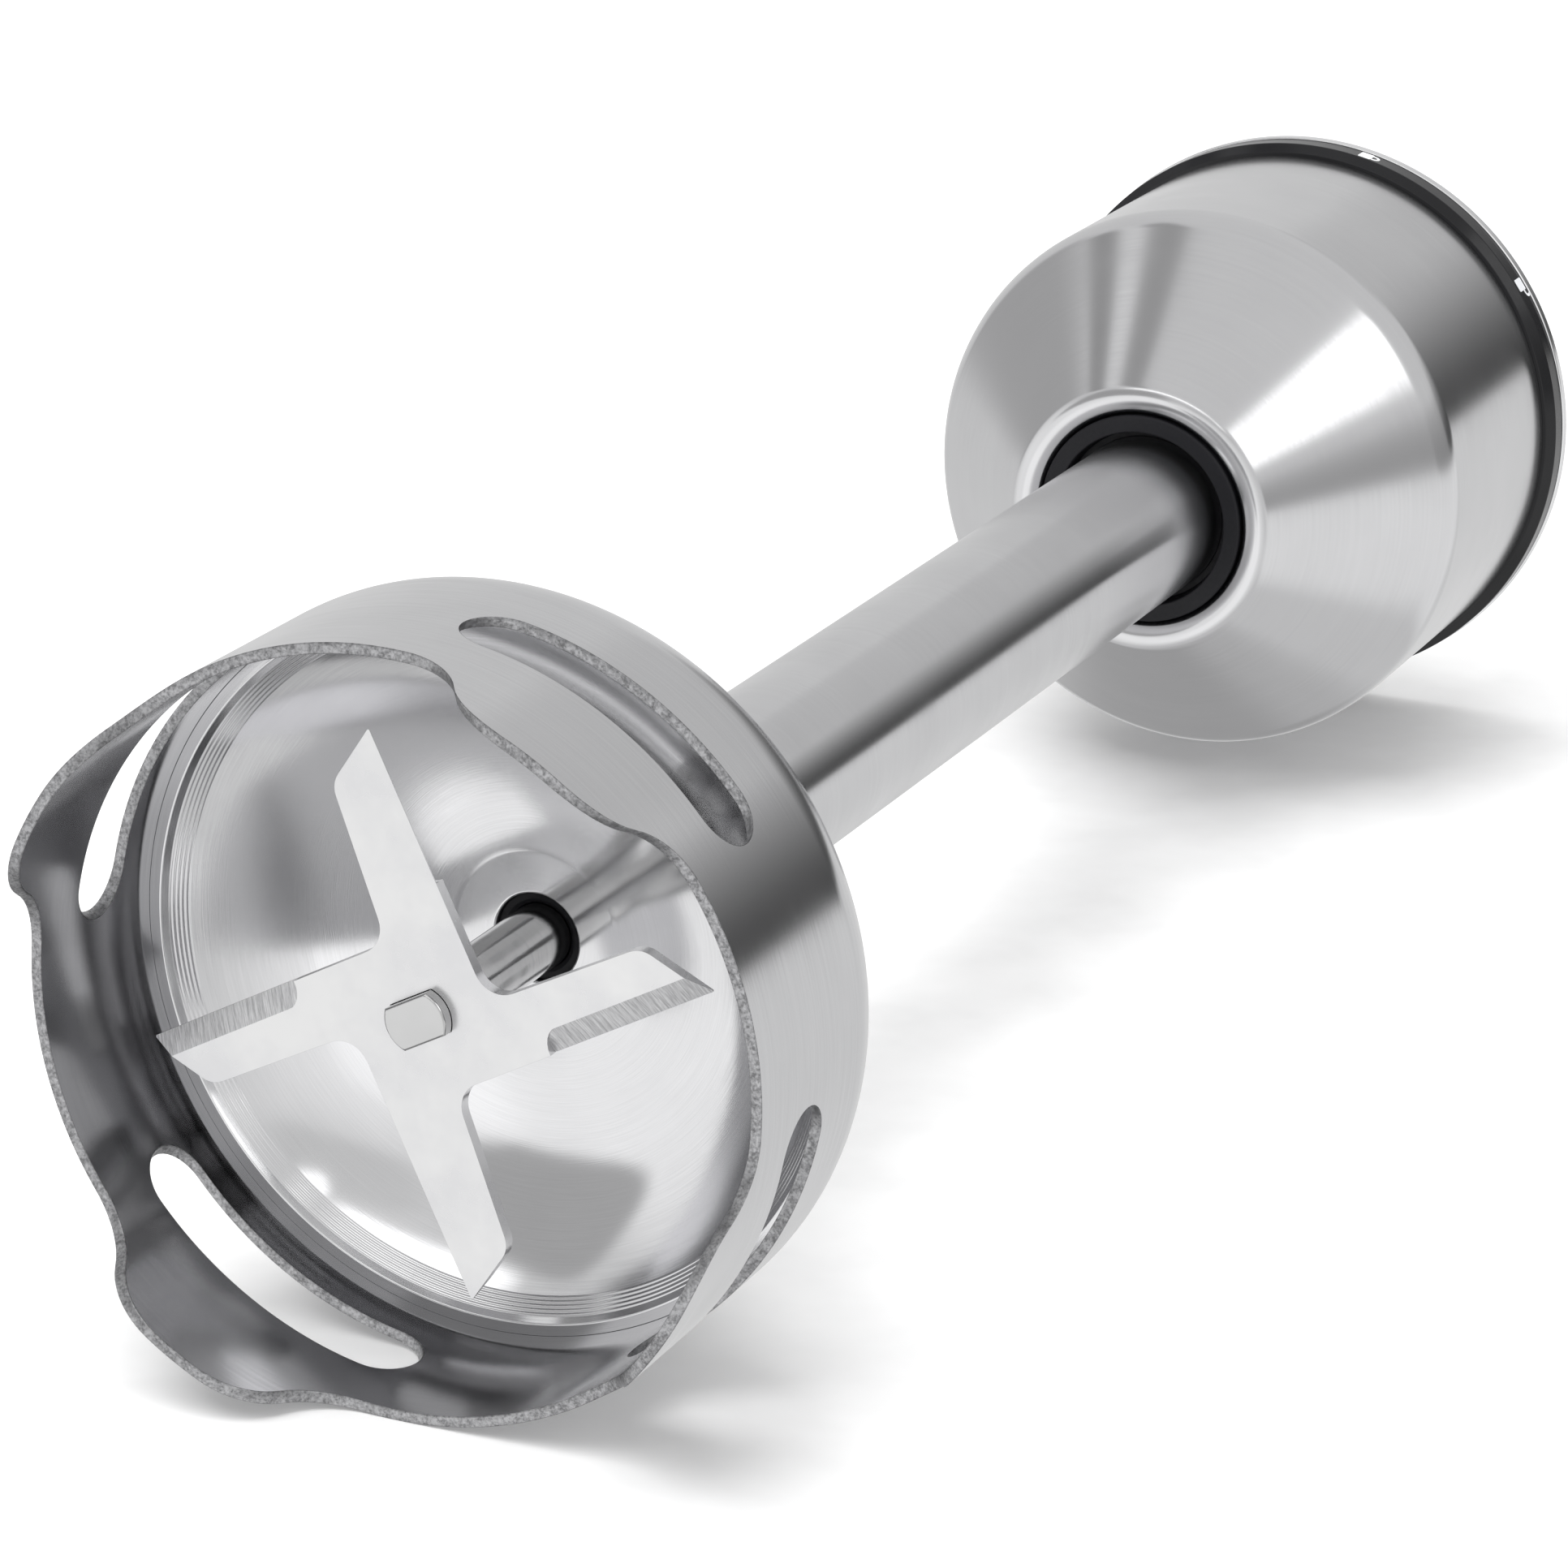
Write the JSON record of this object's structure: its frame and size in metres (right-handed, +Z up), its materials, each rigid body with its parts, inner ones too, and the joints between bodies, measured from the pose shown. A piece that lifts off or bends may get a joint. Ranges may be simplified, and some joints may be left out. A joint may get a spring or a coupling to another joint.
{
  "type": "immersion blender shaft",
  "caption": "Detachable blending shaft of an immersion blender: slotted steel guard around a cross blade, straight steel tube and a round twist-lock coupling.",
  "frame": {"origin": "centre of the coupling's rear face, where the motor unit goes in", "axes": "+Y along the shaft from the guard's mouth to the coupling's rear face, +Z up with the shaft lying down"},
  "size_m": [0.07, 0.233, 0.07],
  "materials": {
    "satin_steel": "satin brushed stainless steel",
    "polished_steel": "polished stainless steel",
    "inner_steel": "polished stainless with fine concentric turning marks",
    "blade_steel": "bright rolled steel with ground edges",
    "bearing_steel": "ground bearing steel",
    "zinc_steel": "zinc plated steel",
    "bronze": "sintered bronze",
    "black_rubber": "satin black rubber",
    "black_plastic": "gloss black plastic",
    "dark_plastic": "matte black moulded plastic",
    "white_plastic": "natural white nylon"
  },
  "bodies": {
    "root": {"bell_guard": "satin_steel", "bell_floor": "inner_steel", "bearing_hub": "zinc_steel", "shaft_lip_seal": "black_rubber", "lower_bush": "bronze", "middle_bush": "bronze", "outer_tube": "polished_steel", "shaft_liner": "white_plastic", "neck_seal": "black_rubber", "coupling_shell": "polished_steel", "coupling_core": "dark_plastic", "lock_ring": "black_plastic", "rear_trim_ring": "polished_steel", "bearing_retainer": "zinc_steel", "retainer_screws": "zinc_steel", "ring_screws": "zinc_steel", "socket_gasket": "black_rubber", "bearing_outer_race": "bearing_steel"},
    "rotor": {"drive_shaft": "bearing_steel", "cross_blade": "blade_steel", "thrust_washer": "white_plastic", "shaft_circlip": "zinc_steel", "bearing_circlip": "zinc_steel", "bearing_inner_race": "bearing_steel", "bearing_spacer": "zinc_steel", "drive_coupler": "dark_plastic", "coupler_pin": "bearing_steel"},
    "ball_set": {"bearing_balls": "bearing_steel", "bearing_cage": "white_plastic"}
  },
  "joints": [
    {"name": "rotor_spin", "type": "hinge", "parent": "root", "child": "rotor", "pos_m": [0, 0, 0], "axis": [0, 1, 0], "continuous": true},
    {"name": "ball_set_spin", "type": "hinge", "parent": "root", "child": "ball_set", "pos_m": [0, -0.033, 0], "axis": [0, 1, 0], "continuous": true}
  ],
  "couplings": [
    {"joint": "ball_set_spin", "follows": "rotor_spin", "ratio": 0.3669}
  ]
}
